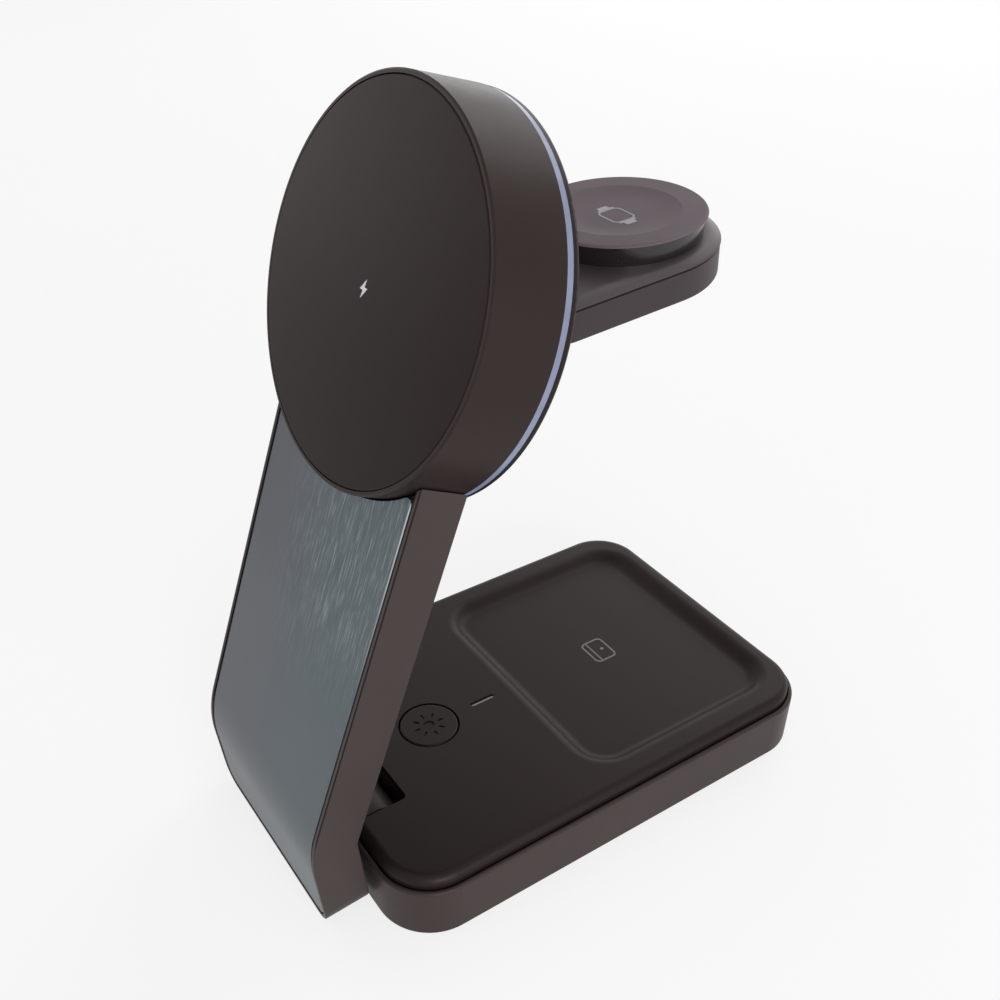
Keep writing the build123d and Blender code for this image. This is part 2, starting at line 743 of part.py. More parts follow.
# Magnets, coil, ferrite and shield, stacked behind the face
with BuildPart() as magnet_ring:
    with BuildSketch(head_plane.offset(-face_thick)):
        Circle(magnet_out)
        Circle(magnet_out - 4.6, mode=Mode.SUBTRACT)
        with PolarLocations(magnet_out, 16):
            Rectangle(12, 0.8, mode=Mode.SUBTRACT)
    extrude(amount=-2.6)
magnet_ring.part.label = "magnet_ring"
export_step(magnet_ring.part, "parts/magnet_ring.step")

with BuildPart() as phone_coil:
    with BuildSketch(head_plane.offset(-face_thick)):
        Circle(magnet_out - 6.0)
        Circle((magnet_out - 6.0) * 0.44, mode=Mode.SUBTRACT)
    extrude(amount=-1.6)
phone_coil.part.label = "phone_coil"
export_step(phone_coil.part, "parts/phone_coil.step")

with BuildPart() as phone_ferrite:
    with BuildSketch(head_plane.offset(-face_thick - 1.6)):
        Circle(magnet_out - 5.4)
    extrude(amount=-1.0)
phone_ferrite.part.label = "phone_ferrite"
export_step(phone_ferrite.part, "parts/phone_ferrite.step")

with BuildPart() as head_shield:
    with BuildSketch(head_plane.offset(-face_thick - 2.6)):
        Circle(magnet_out + 0.4)
    extrude(amount=-0.6)
head_shield.part.label = "head_shield"
export_step(head_shield.part, "parts/head_shield.step")

# Light board on the back plate's posts, with its ring of lights
with BuildPart() as head_board:
    with BuildSketch(head_plane.offset(-8.0)):
        Circle(head_radius - 5.4)
    extrude(amount=-1.2)
head_board.part.label = "head_board"
export_step(head_board.part, "parts/head_board.step")

with BuildPart() as ring_leds:
    with BuildSketch(head_plane.offset(-9.2)):
        with PolarLocations(head_radius - 6.8, 12):
            Rectangle(1.2, 2.0)
    extrude(amount=-0.8)
ring_leds.part.label = "ring_leds"
export_step(ring_leds.part, "parts/ring_leds.step")

# Watch hinge pin and washers
with BuildPart() as watch_hinge_pin:
    with BuildSketch(watch_side):
        Circle(watch_pin)
    extrude(amount=ear_out - 0.1, both=True)
    chamfer(watch_hinge_pin.edges(), 0.2)
watch_hinge_pin.part.label = "watch_hinge_pin"
export_step(watch_hinge_pin.part, "parts/watch_hinge_pin.step")

with BuildPart() as watch_hinge_washers:
    for washer_x in (watch_knuckle + side_gap, -watch_knuckle - side_gap - 0.4):
        with BuildSketch(watch_side.offset(washer_x)):
            Circle(2.8)
            Circle(watch_pin + running_gap, mode=Mode.SUBTRACT)
        extrude(amount=0.4)
watch_hinge_washers.part.label = "watch_hinge_washers"
export_step(watch_hinge_washers.part, "parts/watch_hinge_washers.step")

# Watch arm: lower case with its knuckle
with BuildPart() as watch_arm_lower:
    extrude(watch_outline(watch_seam, lower_inset), amount=-half_thick - watch_seam, taper=1)
    fillet(watch_arm_lower.edges().group_by(puck_axis)[0], 0.4)
    chamfer(watch_arm_lower.edges().group_by(puck_axis)[-1], 0.2)
    extrude(watch_outline(watch_floor, watch_wall), amount=watch_thick, mode=Mode.SUBTRACT)
    with BuildSketch(watch_plane.offset(-half_thick)):
        with Locations((0, (watch_root + 1.0) / 2)):
            Rectangle(2 * watch_knuckle, watch_root + 1.0)
    extrude(amount=half_thick + watch_seam)
    with BuildSketch(watch_side):
        Circle(half_thick)
    extrude(amount=watch_knuckle, both=True)
    with BuildSketch(watch_side):
        Circle(watch_pin + running_gap)
    extrude(amount=watch_knuckle + 1, both=True, mode=Mode.SUBTRACT)
    with BuildSketch(watch_plane.offset(watch_floor)):
        with Locations((-8, watch_reach - 14), (8, watch_reach - 14), (-8, watch_reach + 8), (8, watch_reach + 8)):
            Circle(1.5)
    extrude(amount=0.9)
watch_arm_lower.part.label = "watch_arm_lower"
export_step(watch_arm_lower.part, "parts/watch_arm_lower.step")

# Upper case: a lid with a locating lip
with BuildPart() as watch_arm_upper:
    extrude(watch_outline(watch_seam, 0), amount=watch_band)
    band_top = watch_seam + watch_band
    extrude(watch_outline(band_top, 0), amount=half_thick - band_top, taper=watch_ease)
    fillet(watch_arm_upper.edges().group_by(puck_axis)[-1], 3.6)
    band_edges = watch_arm_upper.edges().filter_by_position(puck_axis, band_top - 0.05, band_top + 0.05)
    fillet(band_edges, band_round)
    chamfer(watch_arm_upper.edges().group_by(puck_axis)[0], watch_chamfer)
    lip_level = watch_seam - 1.2
    extrude(watch_outline(lip_level, watch_wall + side_gap), amount=1.2)
    extrude(watch_outline(lip_level, watch_wall + side_gap + 1.0), amount=1.2, mode=Mode.SUBTRACT)
watch_arm_upper.part.label = "watch_arm_upper"
export_step(watch_arm_upper.part, "parts/watch_arm_upper.step")

# Watch puck: a cup and its dished top
with BuildPart() as watch_puck_body:
    with BuildSketch(puck_section):
        with BuildLine():
            Polyline(
                (0, half_thick),
                (puck_radius - 0.7, half_thick),
                (puck_radius - 0.35, puck_edge),
                (puck_bore, puck_edge),
                (puck_bore, puck_floor),
                (0, puck_floor),
                close=True,
            )
        make_face()
    revolve(axis=puck_axis)
watch_puck_body.part.label = "watch_puck_body"
export_step(watch_puck_body.part, "parts/watch_puck_body.step")

dish_radius = puck_radius - 4.6
dish_sag = 0.6
with BuildPart() as watch_puck_top:
    with BuildSketch(puck_section):
        with BuildLine():
            Polyline(
                (0, puck_top - dish_sag),
                (0, puck_lid),
                (puck_bore - side_gap, puck_lid),
                (puck_bore - side_gap, puck_edge),
                (puck_radius, puck_edge),
                (puck_radius - 0.08, puck_edge + 0.15),
            )
            ThreePointArc(
                (puck_radius - 0.08, puck_edge + 0.15),
                (puck_radius - 0.3, puck_top - 0.05),
                (puck_radius - 0.7, puck_top),
            )
            Line((puck_radius - 0.7, puck_top), (dish_radius, puck_top))
            ThreePointArc(
                (dish_radius, puck_top),
                (dish_radius * 0.75, puck_top - dish_sag * 0.75),
                (dish_radius * 0.5, puck_top - dish_sag),
            )
            Line((dish_radius * 0.5, puck_top - dish_sag), (0, puck_top - dish_sag))
        make_face()
    revolve(axis=puck_axis)
watch_puck_top.part.label = "watch_puck_top"
export_step(watch_puck_top.part, "parts/watch_puck_top.step")

# Watch coil, ferrite and magnet inside the puck, and the board in the arm
puck_plane = Plane(origin=(0, puck_y, puck_z), x_dir=(1, 0, 0), z_dir=watch_up)
with BuildPart() as watch_ferrite:
    with BuildSketch(puck_plane.offset(puck_floor)):
        Circle(puck_bore - 0.8)
    extrude(amount=0.8)
watch_ferrite.part.label = "watch_ferrite"
export_step(watch_ferrite.part, "parts/watch_ferrite.step")

with BuildPart() as watch_coil:
    with BuildSketch(puck_plane.offset(puck_floor + 0.8)):
        Circle(puck_bore - 1.4)
        Circle(5.4, mode=Mode.SUBTRACT)
    extrude(amount=puck_lid - puck_floor - 0.8)
watch_coil.part.label = "watch_coil"
export_step(watch_coil.part, "parts/watch_coil.step")

with BuildPart() as watch_magnet:
    with BuildSketch(puck_plane.offset(puck_floor + 0.8)):
        Circle(4.4)
    extrude(amount=puck_lid - puck_floor - 0.8)
watch_magnet.part.label = "watch_magnet"
export_step(watch_magnet.part, "parts/watch_magnet.step")

with BuildPart() as watch_board:
    with BuildSketch(watch_plane.offset(watch_floor + 0.9)):
        with Locations((0, watch_reach - 3)):
            RectangleRounded(22, 28, 1.0)
    extrude(amount=1.0)
watch_board.part.label = "watch_board"
export_step(watch_board.part, "parts/watch_board.step")
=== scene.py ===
"""Looks of the three in one wireless charger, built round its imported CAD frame."""

import json
import math

import bpy
import numpy as np
from mathutils import Matrix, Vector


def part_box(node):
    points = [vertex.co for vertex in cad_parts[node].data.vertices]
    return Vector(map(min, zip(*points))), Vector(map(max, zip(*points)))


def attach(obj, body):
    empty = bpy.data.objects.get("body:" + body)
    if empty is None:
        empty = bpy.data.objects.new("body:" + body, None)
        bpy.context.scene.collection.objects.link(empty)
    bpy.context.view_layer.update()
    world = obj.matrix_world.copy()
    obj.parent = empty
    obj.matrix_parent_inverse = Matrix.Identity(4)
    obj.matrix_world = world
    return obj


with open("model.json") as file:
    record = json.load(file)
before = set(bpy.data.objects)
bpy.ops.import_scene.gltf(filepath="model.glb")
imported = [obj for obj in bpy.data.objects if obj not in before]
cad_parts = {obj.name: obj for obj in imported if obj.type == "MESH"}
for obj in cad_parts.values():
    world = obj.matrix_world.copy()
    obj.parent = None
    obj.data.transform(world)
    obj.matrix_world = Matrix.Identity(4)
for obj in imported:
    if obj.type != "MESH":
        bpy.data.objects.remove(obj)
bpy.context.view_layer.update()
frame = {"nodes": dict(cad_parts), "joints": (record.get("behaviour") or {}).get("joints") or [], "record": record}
nodes = frame["nodes"]

MM = 0.001

# Sizes repeated from the part's source, in millimetres
LEAN = math.radians(20.5)
TILT = math.radians(4.0)
ARM_HALF = 23.95
PANEL_HALF = 22.55
PANEL_SUNK = 0.15
HEAD_PROUD = 3.5
WATCH_REACH = 33.4
WATCH_SEAM = 2.05
PUCK_DISH = 6.75
DISH_DEPTH = 1.9

# Axes of the leaning arm and of the tilted watch arm
ARM_UP = np.array([0.0, math.sin(LEAN), math.cos(LEAN)])
ARM_FRONT = np.array([0.0, -math.cos(LEAN), math.sin(LEAN)])
WATCH_OUT = np.array([0.0, math.cos(TILT), math.sin(TILT)])
WATCH_UP = np.array([0.0, -math.sin(TILT), math.cos(TILT)])
ACROSS = np.array([1.0, 0.0, 0.0])

# Foot and top of a film of ink over its face, and the pitch of coil wire, in millimetres
FILM = (0.005, 0.045)
WIRE_PITCH = 0.8


def mount_at(name):
    """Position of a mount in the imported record, in millimetres."""
    found = next(m for m in frame["record"]["mounts"] if m["name"] == name)
    return np.array(found["pos_m"]) / MM


def hinge_at(name):
    """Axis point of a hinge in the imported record, in millimetres."""
    found = next(j for j in frame["joints"] if j["name"] == name)
    return np.array(found["pos_m"]) / MM


head_centre = mount_at("phone_face")
watch_axis = hinge_at("watch_fold")
cover_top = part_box("base_cover")[1][2] / MM


class Val:
    """A shader value with Python's operators, each of which adds a Math node."""

    def __init__(self, finish, socket):
        self.finish = finish
        self.socket = socket

    def maths(self, operation, left, right):
        return self.finish.node("ShaderNodeMath", {"operation": operation}, {0: left, 1: right})

    def __add__(self, other):
        return self.maths("ADD", self, other)

    __radd__ = __add__

    def __sub__(self, other):
        return self.maths("SUBTRACT", self, other)

    def __rsub__(self, other):
        return self.maths("SUBTRACT", other, self)

    def __mul__(self, other):
        return self.maths("MULTIPLY", self, other)

    __rmul__ = __mul__

    def __abs__(self):
        return self.maths("ABSOLUTE", self, 0.0)


class Graph:
    """A node tree with a short way to add nodes to it."""

    def __init__(self, tree):
        self.tree = tree

    def node(self, kind, settings, inputs, out=0):
        """Adds a node: its settings first, then a value or a link for each socket."""
        made = self.tree.nodes.new(kind)
        for key, value in settings.items():
            if key == "stops":
                ramp = made.color_ramp.elements
                while len(ramp) < len(value):
                    ramp.new(0.5)
                for element, (where, colour) in zip(ramp, value):
                    element.position = where
                    element.color = (*colour, 1.0)
            else:
                setattr(made, key, value)
        for key, value in inputs.items():
            if isinstance(value, Val):
                self.tree.links.new(value.socket, made.inputs[key])
            else:
                made.inputs[key].default_value = value
        return Val(self, made.outputs[out])

    def shown(self):
        """1 for the rays that show the background: camera, glossy and transmission rays."""
        rays = [f"Is {kind} Ray" for kind in ("Camera", "Glossy", "Transmission")]
        return sum(self.node("ShaderNodeLightPath", {}, {}, ray) for ray in rays)


class Finish(Graph):
    """One procedural material: a Principled shader, its fixed sockets and what feeds it."""

    def __init__(self, name, **fixed):
        self.material = bpy.data.materials.new(name)
        self.material.use_nodes = True
        super().__init__(self.material.node_tree)
        self.shader = next(n for n in self.tree.nodes if n.type == "BSDF_PRINCIPLED")
        for key, value in fixed.items():
            self.shader.inputs[key.replace("_", " ")].default_value = value
        self.place = self.node("ShaderNodeTexCoord", {}, {}, "Object")

    def noise(self, where, scale, detail=2.0):
        """Noise from 0 to 1 at a scale given in cells per metre."""
        return self.node("ShaderNodeTexNoise", {}, {"Vector": where, "Scale": scale, "Detail": detail})

    def ramp(self, value, *stops):
        """Colour of a value through (position, colour) stops."""
        return self.node("ShaderNodeValToRGB", {"stops": stops}, {0: value})

    def rise(self, value, low, high):
        """Smooth step of a value, from 0 at low to 1 at high."""
        return self.node(
            "ShaderNodeMapRange", {"interpolation_type": "SMOOTHSTEP"}, {0: value, 1: low, 2: high}
        )

    def axes(self):
        """The x, y and z of the place as three values."""
        split = self.tree.nodes.new("ShaderNodeSeparateXYZ")
        self.tree.links.new(self.place.socket, split.inputs[0])
        return [Val(self, o) for o in split.outputs]

    def vector(self, x, y, z):
        return self.node("ShaderNodeCombineXYZ", {}, {0: x, 1: y, 2: z})

    def bump(self, height, strength, distance):
        return self.node(
            "ShaderNodeBump", {}, {"Strength": strength, "Distance": distance, "Height": height}
        )

    def feed(self, **sockets):
        for key, value in sockets.items():
            self.tree.links.new(value.socket, self.shader.inputs[key.replace("_", " ")])
        return self

    def overlay(self, mask, colour):
        """Lays a colour over the base colour as far as a mask goes."""
        under = Val(self, self.shader.inputs["Base Color"].links[0].from_socket)
        layers = {0: mask, 6: under, 7: (*colour, 1.0)}
        return self.feed(Base_Color=self.node("ShaderNodeMix", {"data_type": "RGBA"}, layers, 2))


def moulded(name, dark, light, rough, grain=4200.0, depth=0.000012, spread=0.1, **fixed):
    """Moulded plastic: a fine spark-eroded grain, faint colour drift and rubbed patches."""
    made = Finish(name, **fixed)
    drift = made.noise(made.place, 38.0, 3.0)
    fine = made.noise(made.place, grain, 2.0)
    rubbed = made.noise(made.place, 160.0, 4.0)
    return made.feed(
        Base_Color=made.ramp(drift * 0.75 + fine * 0.25, (0.3, dark), (0.7, light)),
        Roughness=rough - spread / 2 + rubbed * spread,
        Normal=made.bump(fine, 0.5, depth),
    )


def brown(level):
    """Colour of a dark warm plastic with a given level of red."""
    return (level, level * 0.70, level * 0.65)


def mauve(level):
    """Colour of a dark violet-grey plastic with a given level of red."""
    return (level, level * 0.80, level * 0.90)


def grey(level):
    """Neutral colour of a given level."""
    return (level, level, level)


warm = {"Specular_IOR_Level": 0.18, "Specular_Tint": (1.0, 0.82, 0.80, 1.0)}
dim = {"Specular_IOR_Level": 0.08, "Specular_Tint": (1.0, 0.82, 0.84, 1.0)}
gloss = {"Specular_IOR_Level": 0.5}


def arm_frame_skin():
    """Moulded plastic of the arm frame, with painted shade on its left front rim and painted shade and highlight
    stripes on its right rim.
    """
    made = moulded("arm_skin", (0.040, 0.0322, 0.0307), (0.047, 0.0378, 0.0361), 0.44, **warm)
    x, y, z = made.axes()
    ahead = z * math.sin(LEAN) - y * math.cos(LEAN)
    plane = head_centre @ ARM_FRONT - HEAD_PROUD
    front = made.rise(ahead, (plane - 0.3) * MM, (plane - 0.2) * MM)
    # Painted shade on the left front rim
    left = made.rise(x, -(ARM_HALF - 0.35) * MM, -(ARM_HALF - 0.65) * MM) * made.rise(x, 0.0, -1.0 * MM)
    made.overlay(front * left, (0.008, 0.006, 0.007))
    # Painted shade and highlight on the right rim, each as distance from the arm's side, blend and colour: a
    # shadowed groove, a lit strip and a shaded outer corner
    shadowed_groove = (1.15, 0.1, (0.004, 0.003, 0.004))
    lit_strip = (0.77, 0.1, (0.072, 0.057, 0.060))
    corner = (0.25, 0.08, (0.009, 0.006, 0.006))
    for inward, blend, colour in (shadowed_groove, lit_strip, corner):
        edge = ARM_HALF - inward
        made.overlay(front * made.rise(x, edge * MM, (edge + blend) * MM), colour)
    return made


def paint_seam_shade(made, clear, dark):
    """Paints shade on a watch arm's finish along the seam of its case, from a clear to a dark height."""
    y, z = made.axes()[1:]
    height = z * math.cos(TILT) - y * math.sin(TILT)
    seam = (watch_axis @ WATCH_UP + WATCH_SEAM) * MM
    return made.overlay(made.rise(height, seam + clear * MM, seam + dark * MM), (0.006, 0.005, 0.006))


def slot_lens():
    """Pale lens of the indicator slot, with painted shade along its sunken far edge and its near end."""
    dull, clear = (0.30, 0.30, 0.33), (0.42, 0.42, 0.45)
    made = moulded("slot_lens", dull, clear, 0.25, grain=1500.0, depth=0.000004, spread=0.08)
    x, y = made.axes()[:2]
    low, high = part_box("indicator_lens")
    middle = (low[0] + high[0]) / 2
    near_side = made.rise(x, middle - 0.15 * MM, middle)
    past_end = made.rise(y, low[1] + 0.6 * MM, low[1] + 0.8 * MM)
    # Painted shade where the slot's walls shade the lens
    return made.overlay(1.0 - near_side * past_end, (0.006, 0.005, 0.006))


def brushed_slate():
    """Slate film with a soft sheen, brushed strokes on its upper right partly painted as bright glints, a painted
    reflection low down, a painted highlight on its right edge and painted shade on its walls.
    """
    made = Finish("brushed_slate", Metallic=0.5, Anisotropic=0.3)
    x, y, z = made.axes()
    along = y * math.sin(LEAN) + z * math.cos(LEAN)
    ahead = z * math.sin(LEAN) - y * math.cos(LEAN)
    hair = made.noise(made.vector(x * 2600.0, along * 40.0, 0.0), 1.0, 3.0)
    long_strokes = made.noise(made.vector(x * 3000.0, along * 110.0, 3.0), 1.0, 3.0)
    short_strokes = made.noise(made.vector(x * 1900.0, along * 230.0, 7.0), 1.0, 2.0)
    patch = made.noise(made.vector(x * 260.0, along * 60.0, 5.0), 1.0, 2.0)
    dark = made.rise(long_strokes, 0.5, 0.25) * 0.4
    bright_glints = made.rise(long_strokes, 0.5, 0.8) * 0.5 + made.rise(short_strokes, 0.5, 0.8) * 0.35
    stroke_and_glint_zone = made.rise(along, 18.0 * MM, 52.0 * MM) * made.rise(x, -19.0 * MM, 4.0 * MM)
    drift = made.rise(x, -20.0 * MM, 14.0 * MM) * 0.8 + hair * 0.2
    lower = made.rise(along, 55.0 * MM, 10.0 * MM)
    upper = made.rise(along, 32.0 * MM, 70.0 * MM)
    right_edge_highlight = made.rise(x, (PANEL_HALF - 0.45) * MM, (PANEL_HALF - 0.2) * MM)
    plane = head_centre @ ARM_FRONT - HEAD_PROUD - PANEL_SUNK
    sunk = made.rise(ahead, (plane - 0.04) * MM, (plane - 0.1) * MM)
    wall_shade = sunk * made.rise(abs(x), (PANEL_HALF - 0.15) * MM, (PANEL_HALF - 0.05) * MM)
    made.feed(
        Base_Color=made.ramp(drift, (0.1, (0.092, 0.098, 0.113)), (0.9, (0.090, 0.118, 0.133))),
        Roughness=0.4 + hair * 0.08,
        Normal=made.bump(hair * stroke_and_glint_zone, 0.25, 0.00002),
    )
    # Painted reflection: the panel lightened towards its lower end, as if reflecting the pale floor
    made.overlay(lower * 0.33, (0.134, 0.142, 0.155))
    # Brushed strokes on the upper right: dark strokes, then bright strokes painted as glints where the brushing
    # catches the light
    made.overlay(dark * stroke_and_glint_zone, (0.05, 0.062, 0.07))
    made.overlay(bright_glints * stroke_and_glint_zone * (patch + 0.4), (0.42, 0.48, 0.51))
    # Painted highlight along the panel's right edge, strongest towards the top
    made.overlay(right_edge_highlight * upper, (0.62, 0.66, 0.70))
    # Painted shade on the panel's side walls in the gap by the rim
    return made.overlay(wall_shade, (0.004, 0.003, 0.004))


def ring_glow():
    """Milky light ring: a blue-violet body with a cloudy depth under a clear skin, and a faint painted glow though
    the ring is unlit.
    """
    made = Finish("ring_glow", Coat_Weight=0.2, IOR=1.49, Emission_Strength=1.0)
    cloud = made.noise(made.place, 220.0, 3.0)
    fine = made.noise(made.place, 2600.0, 1.0)
    return made.feed(
        Base_Color=made.ramp(cloud, (0.3, (0.10, 0.112, 0.165)), (0.7, (0.125, 0.14, 0.205))),
        Roughness=0.34 + fine * 0.1,
        Emission_Color=made.ramp(cloud, (0.3, (0.068, 0.080, 0.128)), (0.7, (0.086, 0.1, 0.155))),
    )


def plated(name, dark, light, rough, scale=900.0):
    """Plated metal with drawn lines and a cloudy polish."""
    made = Finish(name, Metallic=1.0)
    x, y, z = made.axes()
    lines = made.noise(made.vector(x * scale, y * scale * 0.1, z * scale), 1.0, 2.0)
    return made.feed(
        Base_Color=made.ramp(lines, (0.3, dark), (0.7, light)),
        Roughness=rough + lines * 0.15,
        Normal=made.bump(lines, 0.2, 0.00001),
    )


def wound(name, centre):
    """Wound copper: rings about an axis, one per turn of wire."""
    made = Finish(name, Metallic=1.0)
    offset = made.node(
        "ShaderNodeVectorMath", {"operation": "SUBTRACT"}, {0: made.place, 1: tuple(centre * MM)}
    )
    radius = made.node("ShaderNodeVectorMath", {"operation": "LENGTH"}, {0: offset}, 1)
    turns = made.node("ShaderNodeMath", {"operation": "SINE"}, {0: radius * (2 * math.pi / (WIRE_PITCH * MM))})
    return made.feed(
        Base_Color=made.ramp(turns * 0.5 + 0.5, (0.1, (0.22, 0.07, 0.02)), (0.8, (0.75, 0.34, 0.16))),
        Roughness=0.32 - turns * 0.06,
        Normal=made.bump(turns, 0.6, 0.0002),
    )


def circuit(name):
    """Circuit board: green mask over square copper traces."""
    made = Finish(name, Coat_Weight=0.3)
    cells = made.node(
        "ShaderNodeTexVoronoi",
        {"distance": "CHEBYCHEV", "feature": "F1"},
        {"Vector": made.place, "Scale": 420.0, "Randomness": 0.6},
    )
    trace = made.ramp(cells, (0.3, (0.008, 0.07, 0.03)), (0.36, (0.02, 0.13, 0.05)))
    return made.feed(Base_Color=trace, Roughness=0.35 + cells * 0.2, Normal=made.bump(cells, 0.2, 0.00002))


def printed(name, colour):
    """Pad-printed ink with a slightly uneven film."""
    made = Finish(name)
    film = made.noise(made.place, 5200.0, 2.0)
    soft = tuple(c * 0.86 for c in colour)
    return made.feed(
        Base_Color=made.ramp(film, (0.3, soft), (0.6, colour)),
        Roughness=0.45 + film * 0.15,
    )


base_skin = moulded("base_skin", (0.032, 0.0235, 0.0225), (0.038, 0.0279, 0.0267), 0.42, **warm)
# The cover is a shaded copy of the base's brown plastic, painted darker for the shade that falls on its top
cover_shaded_skin = moulded("cover_shaded_skin", brown(0.0098), brown(0.0122), 0.44, **warm)
arm_skin = arm_frame_skin()
head_skin = moulded("head_skin", brown(0.0175), brown(0.0215), 0.40, **warm)
face_skin = moulded(
    "face_skin", brown(0.0200), brown(0.0225), 0.3, grain=6500.0, depth=0.000004, spread=0.06, **dim
)
puck_gloss = moulded(
    "puck_gloss", mauve(0.015), mauve(0.018), 0.14, grain=2600.0, depth=0.000004, spread=0.06, **gloss
)
puck_matte = moulded("puck_matte", mauve(0.118), mauve(0.136), 0.62, grain=5200.0, depth=0.00002, **warm)
# Painted shade along the seam between the watch arm's lower case and its lid
watch_skin = paint_seam_shade(moulded("watch_skin", mauve(0.039), mauve(0.046), 0.44, **warm), clear=-0.22, dark=-0.1)
# The lid is a lit copy of the watch arm's plastic, painted lighter because its upper face takes the light
lid_lit_plain = moulded("lid_lit_skin", mauve(0.067), mauve(0.077), 0.36, depth=0.000006, **warm)
lid_lit_skin = paint_seam_shade(lid_lit_plain, clear=0.3, dark=0.2)
foot_rubber = moulded("foot_rubber", grey(0.012), grey(0.02), 0.75, grain=1800.0, depth=0.00005)
resin = moulded("chip_resin", grey(0.008), grey(0.014), 0.5)
ferrite = moulded(
    "pressed_ferrite", (0.02, 0.02, 0.022), (0.032, 0.032, 0.034), 0.7, grain=2400.0, depth=0.00003
)
lens_clear = slot_lens()
led_body = moulded("led_body", (0.62, 0.55, 0.3), (0.75, 0.68, 0.4), 0.3)
slate = brushed_slate()
glow = ring_glow()
steel = plated("plated_steel", (0.42, 0.42, 0.43), (0.62, 0.62, 0.63), 0.3)
nickel = plated("magnet_nickel", (0.55, 0.55, 0.56), (0.75, 0.75, 0.76), 0.2)
board_green = circuit("board_green")
ink_pale = printed("ink_pale", (0.36, 0.34, 0.40))
ink_white = printed("ink_white", (0.80, 0.78, 0.84))
ink_grey = printed("ink_grey", (0.165, 0.15, 0.155))

puck_centre = watch_axis + WATCH_OUT * WATCH_REACH
dish_low, dish_high = (np.array(c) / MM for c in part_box("earbud_coil"))
dish_centre = np.array([0.0, (dish_low[1] + dish_high[1]) / 2, 0.0])
coil_base = wound("coil_base", np.array([0.0, dish_centre[1], dish_high[2]]))
phone_coil_depth = 2.4
watch_coil_height = 5.0
coil_phone = wound("coil_phone", head_centre - ARM_FRONT * phone_coil_depth)
coil_watch = wound("coil_watch", puck_centre + WATCH_UP * watch_coil_height)

dressed = {
    base_skin: ("base_tray",),
    cover_shaded_skin: ("base_cover", "light_button", "head_back_plate"),
    arm_skin: ("arm_frame",),
    head_skin: ("head_housing",),
    face_skin: ("head_face",),
    puck_gloss: ("watch_puck_body",),
    puck_matte: ("watch_puck_top",),
    watch_skin: ("watch_arm_lower",),
    lid_lit_skin: ("watch_arm_upper",),
    foot_rubber: ("foot_pad",),
    resin: ("board_chips", "charging_port_tongue", "switch_body", "switch_plunger"),
    ferrite: ("earbud_ferrite", "phone_ferrite", "watch_ferrite"),
    lens_clear: ("indicator_lens",),
    led_body: ("indicator_led", "ring_leds"),
    slate: ("arm_panel",),
    glow: ("light_ring",),
    steel: (
        "counterweight",
        "charging_port_shell",
        "hinge_pin",
        "hinge_washers",
        "base_screws",
        "head_shield",
        "head_screws",
        "watch_hinge_pin",
        "watch_hinge_washers",
    ),
    nickel: ("magnet_ring", "watch_magnet"),
    board_green: ("main_board", "head_board", "watch_board"),
    coil_base: ("earbud_coil",),
    coil_phone: ("phone_coil",),
    coil_watch: ("watch_coil",),
}
for finish, names in dressed.items():
    for name in names:
        nodes[name].data.materials.clear()
        nodes[name].data.materials.append(finish.material)


def piece(name, points, faces, finish, body):
    """A new mesh from points in millimetres in the row frame, riding on a body."""
    mesh = bpy.data.meshes.new(name)
    mesh.from_pydata((np.asarray(points, float) * MM).tolist(), [], [list(map(int, f)) for f in faces])
    mesh.materials.append(finish.material)
    mesh.validate()
    made = bpy.data.objects.new(name, mesh)
    bpy.context.scene.collection.objects.link(made)
    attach(made, body)


def shell(rings, closed):
    """Closed skin through a stack of rings: quads between them, joined round or capped at both ends."""
    count, around = rings.shape[:2]
    k = np.arange(count if closed else count - 1)[:, None]
    j = np.arange(around)[None, :]
    after, beside = (k + 1) % count, (j + 1) % around
    quads = np.stack(
        [k * around + j, after * around + j, after * around + beside, k * around + beside], -1
    ).reshape(-1, 4)
    caps = [] if closed else [j[0][::-1], j[0] + (count - 1) * around]
    return rings.reshape(-1, 3), list(quads) + caps


def stroke(path, width, closed):
    """Inked line: a rectangle as wide as the line and as high as the film, swept along a mitred path."""
    path = np.asarray(path, float)
    if closed:
        before, after = np.roll(path, 1, 0), np.roll(path, -1, 0)
    else:
        before = np.vstack([2 * path[:1] - path[1:2], path[:-1]])
        after = np.vstack([path[1:], 2 * path[-1:] - path[-2:-1]])
    a, b = path - before, after - path
    a /= np.linalg.norm(a, axis=1, keepdims=True)
    b /= np.linalg.norm(b, axis=1, keepdims=True)
    side_a = np.stack([-a[:, 1], a[:, 0]], 1)
    side_b = np.stack([-b[:, 1], b[:, 0]], 1)
    mitre = side_a + side_b
    mitre *= width / 2 / (mitre * side_a).sum(1, keepdims=True)
    low, high = FILM
    across = np.array([-1.0, 1.0, 1.0, -1.0])
    flat = path[:, None, :] + mitre[:, None, :] * across[None, :, None]
    lift = np.broadcast_to(np.array([low, low, high, high])[None, :, None], (*flat.shape[:2], 1))
    return shell(np.concatenate([flat, lift], 2), closed)


def filled(outline):
    """Inked patch: an outline drawn up from the foot of the film to its top."""
    outline = np.asarray(outline, float)
    return shell(np.stack([np.column_stack([outline, np.full(len(outline), h)]) for h in FILM]), False)


def rounded(width, height, radius, centre=(0.0, 0.0), steps=6):
    """Rounded rectangle: four quarter circles joined by straight sides."""
    turn = np.linspace(0, math.pi / 2, steps)[None, :] + np.arange(4)[:, None] * math.pi / 2
    half = np.array([width / 2 - radius, height / 2 - radius])
    corner = np.array([(1, 1), (-1, 1), (-1, -1), (1, -1)]) * half
    arcs = corner[:, None, :] + radius * np.stack([np.cos(turn), np.sin(turn)], -1)
    return arcs.reshape(-1, 2) + np.asarray(centre, float)


